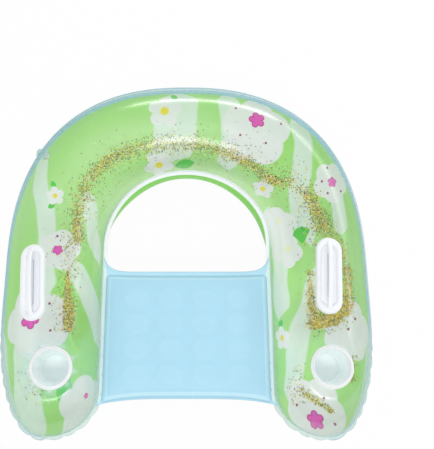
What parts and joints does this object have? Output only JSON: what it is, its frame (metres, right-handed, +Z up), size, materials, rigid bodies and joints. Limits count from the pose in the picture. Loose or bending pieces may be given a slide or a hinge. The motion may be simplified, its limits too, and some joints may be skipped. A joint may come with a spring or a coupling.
{
  "type": "inflatable pool chair",
  "caption": "Floating pool chair: a U-shaped clear-topped air tube with a welded air seat between its arms, a grab handle and a cup holder on each arm.",
  "frame": {"origin": "on the ground under the middle of the chair's outline", "axes": "+Z up, +Y towards the round back, +X to the right of someone looking from the foot end"},
  "size_m": [1.07, 1.06, 0.3037],
  "materials": {
    "clear_film": "clear film with a light blue cast, gloss",
    "printed_film": "printed film, wavy green stripes with blossoms, gloss",
    "weld_seam": "welded film, puckered, gloss",
    "seat_film": "light blue film, satin",
    "white_moulding": "soft white moulding, satin",
    "cup_rim": "soft white moulding, satin",
    "cup_film": "frosted clear film",
    "valve": "clear soft moulding",
    "glitter": "loose gold flakes"
  },
  "bodies": {
    "chair": {"tube_top_film": "clear_film", "tube_bottom_film": "printed_film", "tube_weld_seam": "weld_seam", "seat_top_film": "seat_film", "seat_bottom_film": "seat_film", "seat_weld_border": "seat_film", "left_handle": "white_moulding", "right_handle": "white_moulding", "left_cup_rim": "cup_rim", "right_cup_rim": "cup_rim", "left_cup_liner": "cup_film", "right_cup_liner": "cup_film", "left_cup_floor": "cup_film", "right_cup_floor": "cup_film", "tube_valve_base": "valve", "seat_valve_base": "valve", "glitter_back_drift": "glitter", "glitter_left_drift": "glitter", "glitter_right_drift": "glitter", "glitter_foot_drift": "glitter"},
    "tube_valve_stem": {"tube_valve_stem": "valve"},
    "tube_valve_plug": {"tube_valve_plug": "valve"},
    "tube_valve_flap": {"tube_valve_flap": "cup_film"},
    "seat_valve_stem": {"seat_valve_stem": "valve"},
    "seat_valve_plug": {"seat_valve_plug": "valve"},
    "seat_valve_flap": {"seat_valve_flap": "cup_film"}
  },
  "joints": [
    {"name": "tube_valve_push_in", "type": "slide", "parent": "chair", "child": "tube_valve_stem", "axis": [0.8519, -0.4993, 0.1581], "range_m": [0, 0.024]},
    {"name": "tube_valve_plug_hinge", "type": "hinge", "parent": "tube_valve_stem", "child": "tube_valve_plug", "pos_m": [-0.47529, 0.31268, 0.11076], "axis": [-0.1364, 0.0799, 0.9874], "range_deg": [0, 150]},
    {"name": "tube_valve_flap_hinge", "type": "hinge", "parent": "tube_valve_stem", "child": "tube_valve_flap", "pos_m": [-0.43618, 0.3083, 0.12209], "axis": [-0.5057, -0.8627, -0.0001], "range_deg": [0, 60], "stiffness_Nm_per_rad": 0.0003},
    {"name": "seat_valve_push_in", "type": "slide", "parent": "chair", "child": "seat_valve_stem", "axis": [0.0491, -0.0833, 0.9953], "range_m": [0, 0.011]},
    {"name": "seat_valve_plug_hinge", "type": "hinge", "parent": "seat_valve_stem", "child": "seat_valve_plug", "pos_m": [-0.12284, -0.13862, 0.09756], "axis": [0, -0.9965, -0.0834], "range_deg": [0, 150]},
    {"name": "seat_valve_flap_hinge", "type": "hinge", "parent": "seat_valve_stem", "child": "seat_valve_flap", "pos_m": [-0.13763, -0.14619, 0.12208], "axis": [0.9988, 0.0041, -0.049], "range_deg": [0, 60], "stiffness_Nm_per_rad": 0.0003}
  ]
}
